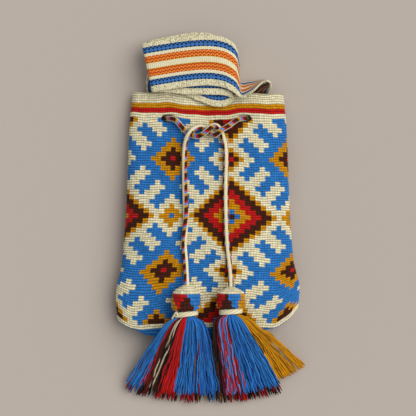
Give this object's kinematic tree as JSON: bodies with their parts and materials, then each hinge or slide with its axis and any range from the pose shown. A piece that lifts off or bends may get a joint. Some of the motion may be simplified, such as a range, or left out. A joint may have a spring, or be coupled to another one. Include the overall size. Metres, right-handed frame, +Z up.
{
  "type": "drawstring bucket bag",
  "caption": "Crocheted bucket bag with a drawstring through eyelets, tassels on the cord's ends and a wide woven shoulder strap folded above its mouth.",
  "frame": {"origin": "on the surface the bag lies on, in the middle of the flat back of the body", "axes": "+Y along the bag from its base towards its mouth, +Z up out of its front, +X across the bag, to the right when it is seen from above with the mouth away from the viewer"},
  "size_m": [0.2533, 0.4991, 0.0702],
  "materials": {
    "body_yarn": "matte crocheted cotton yarn in stepped diamonds of five colours",
    "cord_yarn": "matte braided yarn, half cream and half banded",
    "strap_yarn": "matte woven yarn in lengthwise stripes",
    "cap_yarn": "matte crocheted yarn",
    "binding_yarn": "matte wound yarn",
    "fringe_yarn": "matte loose yarn"
  },
  "bodies": {
    "root": {"bag_body": "body_yarn", "drawstring": "cord_yarn", "strap": "strap_yarn", "tassel_cap_left": "cap_yarn", "tassel_cap_right": "cap_yarn", "tassel_binding_left": "binding_yarn", "tassel_binding_right": "binding_yarn", "tassel_fringe_left": "fringe_yarn", "tassel_fringe_right": "fringe_yarn"}
  },
  "joints": []
}
